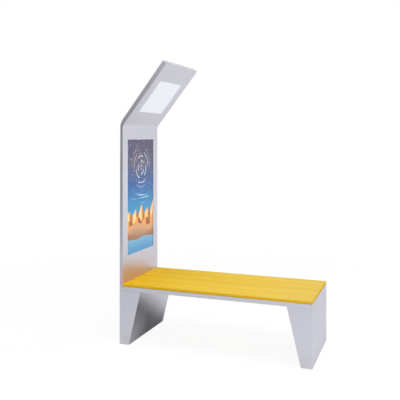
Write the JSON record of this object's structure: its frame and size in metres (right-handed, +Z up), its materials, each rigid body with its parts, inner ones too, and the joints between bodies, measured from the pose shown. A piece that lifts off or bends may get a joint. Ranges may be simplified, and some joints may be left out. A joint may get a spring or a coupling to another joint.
{
  "type": "solar charging bench",
  "caption": "Slatted bench on tapered steel legs, with a thin end tower that holds a lit poster and bends over into a sloping canopy with a lamp below and a solar module above.",
  "frame": {"origin": "on the ground, in the middle of the bench's footprint", "axes": "+X from the tower to the free end of the seat, +Y to the back, +Z up"},
  "size_m": [1.5053, 0.6584, 2.1998],
  "materials": {
    "silver_paint": "satin powder coat",
    "galvanised_steel": "matt zinc",
    "yellow_plank": "satin paint",
    "poster_glass": "clear",
    "poster_print": "satin film",
    "light_guide": "clear acrylic",
    "white_film": "matt",
    "led_board": "white mask",
    "opal_diffuser": "opal",
    "bare_aluminium": "mill finish",
    "stainless_steel": "brushed",
    "solar_glass": "low-glare glass over dark cells",
    "black_plastic": "fine texture",
    "black_aluminium": "anodised",
    "battery_case": "satin",
    "strap_webbing": "woven",
    "cable_jacket": "matt"
  },
  "bodies": {
    "frame": {"tower_leg_shell": "silver_paint", "tower_leg_base_plate": "galvanised_steel", "free_leg_shell": "silver_paint", "free_leg_base_plate": "galvanised_steel", "seat_rail_front": "silver_paint", "seat_rail_back": "silver_paint", "seat_rail_end": "silver_paint", "seat_bearer_1": "galvanised_steel", "seat_bearer_2": "galvanised_steel", "seat_bearer_3": "galvanised_steel", "seat_plank_1": "yellow_plank", "seat_plank_2": "yellow_plank", "seat_plank_3": "yellow_plank", "seat_plank_4": "yellow_plank", "tower_side_front": "silver_paint", "tower_side_back": "silver_paint", "tower_face": "silver_paint", "tower_back": "silver_paint", "mast_post_front": "galvanised_steel", "mast_post_back": "galvanised_steel", "mast_bar": "galvanised_steel", "light_box_frame": "bare_aluminium", "poster_glass": "poster_glass", "poster_print": "poster_print", "light_guide": "light_guide", "led_strip_front": "led_board", "led_strip_back": "led_board", "light_box_back": "white_film", "lamp_housing": "bare_aluminium", "lamp_diffuser": "opal_diffuser", "lamp_led_board": "led_board", "solar_frame": "bare_aluminium", "solar_laminate": "solar_glass", "solar_junction_box": "black_plastic", "battery_tray": "galvanised_steel", "battery": "battery_case", "battery_strap": "strap_webbing", "equipment_plate": "galvanised_steel", "charge_controller": "black_aluminium", "usb_outlet": "black_plastic", "solar_cable": "cable_jacket", "lamp_cable": "cable_jacket", "poster_light_cable": "cable_jacket", "battery_lead": "cable_jacket", "usb_cable": "cable_jacket", "poster_door_hinge_frame_leaf": "stainless_steel", "poster_door_hinge_pin": "stainless_steel", "battery_door_hinge_frame_leaf": "stainless_steel", "battery_door_hinge_pin": "stainless_steel"},
    "poster_door": {"poster_door": "silver_paint", "poster_door_hinge_door_leaf": "stainless_steel", "poster_door_lower_lock_body": "stainless_steel", "poster_door_upper_lock_body": "stainless_steel"},
    "battery_door": {"battery_door": "silver_paint", "battery_door_hinge_door_leaf": "stainless_steel", "battery_door_lock_body": "stainless_steel"},
    "poster_lower_cam": {"poster_door_lower_lock_cam": "stainless_steel"},
    "poster_upper_cam": {"poster_door_upper_lock_cam": "stainless_steel"},
    "battery_cam": {"battery_door_lock_cam": "stainless_steel"},
    "usb_flap": {"usb_flap": "black_plastic"}
  },
  "joints": [
    {"name": "poster_door_hinge", "type": "hinge", "parent": "frame", "child": "poster_door", "pos_m": [-0.74956, 0.284, 1.13501], "axis": [-0.0049, 0, -1], "range_deg": [0, 105]},
    {"name": "battery_door_hinge", "type": "hinge", "parent": "frame", "child": "battery_door", "pos_m": [-0.7528, 0.264, 0.2172], "axis": [0, 0, -1], "range_deg": [0, 110]},
    {"name": "poster_lower_cam_turn", "type": "hinge", "parent": "poster_door", "child": "poster_lower_cam", "pos_m": [-0.73867, -0.271, 0.88745], "axis": [-1, 0, 0.0049], "range_deg": [0, 90]},
    {"name": "poster_upper_cam_turn", "type": "hinge", "parent": "poster_door", "child": "poster_upper_cam", "pos_m": [-0.73626, -0.271, 1.38244], "axis": [-1, 0, 0.0049], "range_deg": [0, 90]},
    {"name": "battery_cam_turn", "type": "hinge", "parent": "battery_door", "child": "battery_cam", "pos_m": [-0.7407, -0.251, 0.2172], "axis": [-1, 0, 0], "range_deg": [0, 90]},
    {"name": "usb_flap_hinge", "type": "hinge", "parent": "frame", "child": "usb_flap", "pos_m": [-0.655, 0.331, 0.3674], "axis": [1, 0, 0], "range_deg": [0, 100], "stiffness_Nm_per_rad": 0.003, "springref_deg": -11.46}
  ]
}
